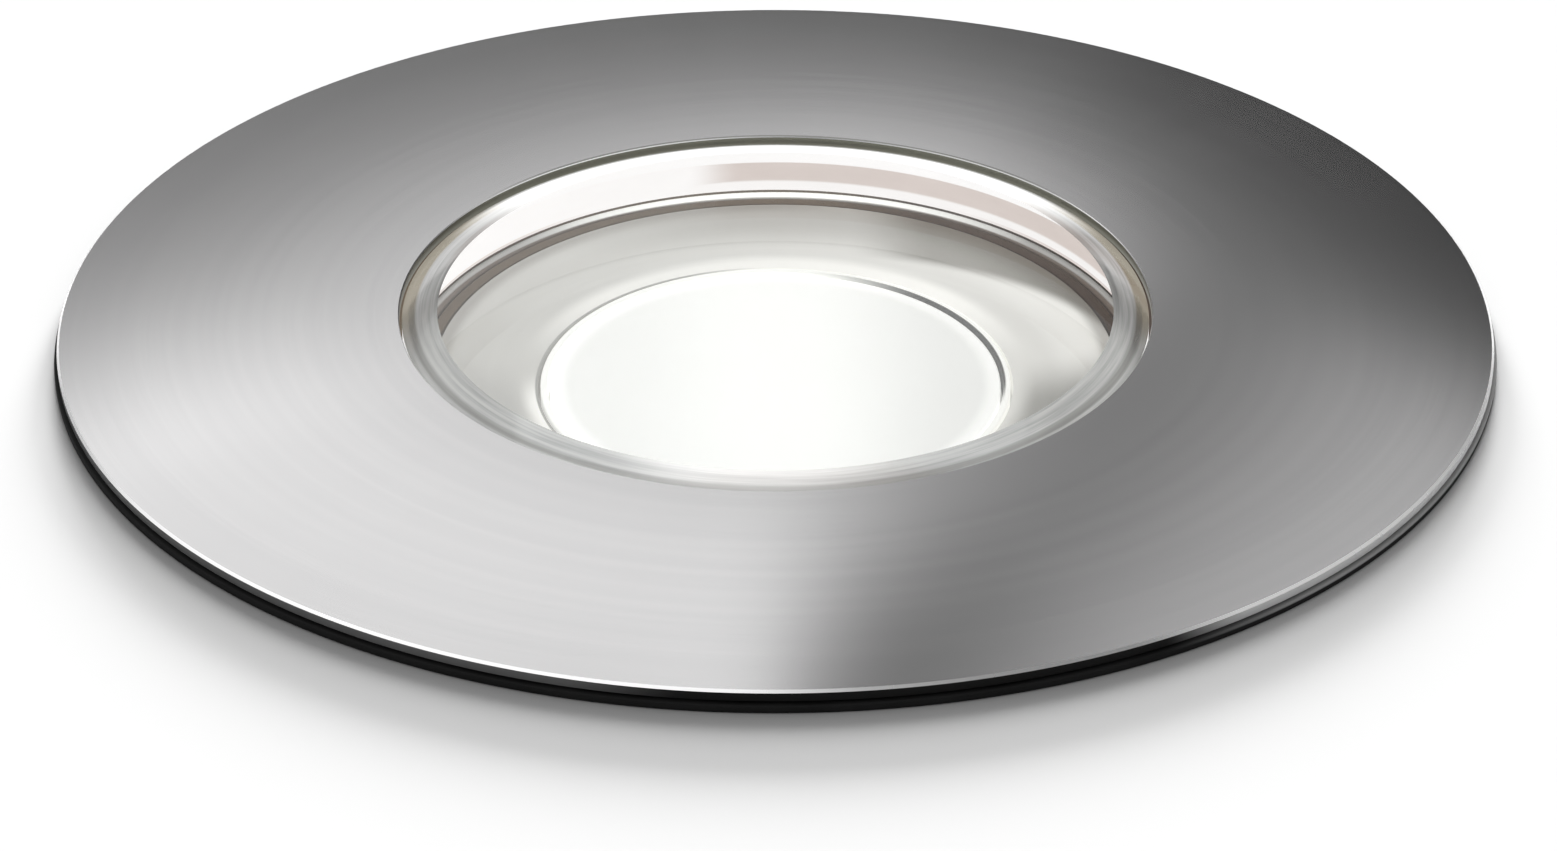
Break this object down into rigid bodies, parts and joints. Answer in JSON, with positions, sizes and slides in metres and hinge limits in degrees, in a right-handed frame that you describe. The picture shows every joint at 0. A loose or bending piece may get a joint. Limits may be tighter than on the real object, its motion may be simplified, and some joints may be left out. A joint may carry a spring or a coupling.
{
  "type": "in-ground spotlight",
  "caption": "Round in-ground spotlight: brushed steel cover ring round a thick flush glass over an opal-lit lamp, in a housing that lifts out of an installation sleeve.",
  "frame": {"origin": "centre of the sleeve's underside, on the surface that it stands on", "axes": "+Z is the way the light shines, up out of the ground; +X and -X point through the two cable entries"},
  "size_m": [0.1608, 0.1608, 0.1493],
  "materials": {
    "brushed_steel": "circular brushed stainless steel",
    "bright_steel": "bright stainless steel",
    "zinc": "zinc-plated steel",
    "spring_steel": "satin spring steel",
    "black_rubber": "matt black rubber",
    "white_silicone": "soft white silicone",
    "thermal_pad": "soft grey gap pad",
    "clear_glass": "clear tempered, polished bevel",
    "opal": "opal, lit from behind",
    "white_plastic": "matt white",
    "black_plastic": "matt black, fine moulded grain",
    "driver_case": "matt white, potted",
    "terminal_green": "matt green",
    "lead_red": "red insulation",
    "lead_black": "black insulation",
    "led_yellow": "phosphor, slightly glossy",
    "board_white": "white lacquered aluminium board",
    "cast_housing": "dark coated die casting",
    "satin_aluminium": "satin spun aluminium",
    "sink_aluminium": "bare machined aluminium"
  },
  "bodies": {
    "sleeve": {"sleeve": "black_plastic", "sleeve_base": "black_plastic"},
    "luminaire": {"cover_ring": "brushed_steel", "rim_gasket": "black_rubber", "glass": "clear_glass", "glass_seat_gasket": "white_silicone", "glass_edge_seal": "black_rubber", "ring_stud_1": "bright_steel", "ring_stud_2": "bright_steel", "ring_stud_3": "bright_steel", "ring_nut_1": "zinc", "ring_nut_2": "zinc", "ring_nut_3": "zinc", "housing": "cast_housing", "reflector_dish": "satin_aluminium", "opal_lens": "opal", "lens_collar": "white_plastic", "mixing_cup": "white_plastic", "cup_screw_1": "zinc", "cup_screw_2": "zinc", "cup_screw_3": "zinc", "led_board": "board_white", "thermal_pad": "thermal_pad", "led": "led_yellow", "led_holder": "white_plastic", "heat_sink": "sink_aluminium", "sink_circlip": "spring_steel", "driver": "driver_case", "driver_screw_1": "zinc", "driver_screw_2": "zinc", "terminal_block": "terminal_green", "lead_positive": "lead_red", "lead_negative": "lead_black", "base_cap": "cast_housing", "cap_o_ring": "black_rubber", "cap_screw_1": "bright_steel", "cap_screw_2": "bright_steel", "cap_screw_3": "bright_steel", "cap_screw_4": "bright_steel", "gland_locknut": "zinc", "gland_washer": "black_rubber", "gland_body": "bright_steel", "gland_seal": "black_rubber", "gland_nut": "bright_steel", "vent_plug": "black_plastic", "clip_bracket_1": "zinc", "clip_bracket_2": "zinc", "clip_bracket_3": "zinc", "clip_pin_1": "bright_steel", "clip_pin_2": "bright_steel", "clip_pin_3": "bright_steel", "clip_spring_1": "spring_steel", "clip_spring_2": "spring_steel", "clip_spring_3": "spring_steel", "bracket_screw_1": "zinc", "bracket_screw_2": "zinc", "bracket_screw_3": "zinc"},
    "clip_1": {"clip_arm_1": "spring_steel"},
    "clip_2": {"clip_arm_2": "spring_steel"},
    "clip_3": {"clip_arm_3": "spring_steel"}
  },
  "joints": [
    {"name": "luminaire_lift", "type": "slide", "parent": "sleeve", "child": "luminaire", "axis": [0, 0, 1], "range_m": [0, 0.125]},
    {"name": "clip_1_fold", "type": "hinge", "parent": "luminaire", "child": "clip_1", "pos_m": [0.02675, 0.04633, 0.1349], "axis": [-0.866, 0.5, 0], "range_deg": [0, 18], "stiffness_Nm_per_rad": 0.4},
    {"name": "clip_2_fold", "type": "hinge", "parent": "luminaire", "child": "clip_2", "pos_m": [-0.0535, 0, 0.1349], "axis": [0, -1, 0], "range_deg": [0, 18], "stiffness_Nm_per_rad": 0.4},
    {"name": "clip_3_fold", "type": "hinge", "parent": "luminaire", "child": "clip_3", "pos_m": [0.02675, -0.04633, 0.1349], "axis": [0.866, 0.5, 0], "range_deg": [0, 18], "stiffness_Nm_per_rad": 0.4}
  ]
}
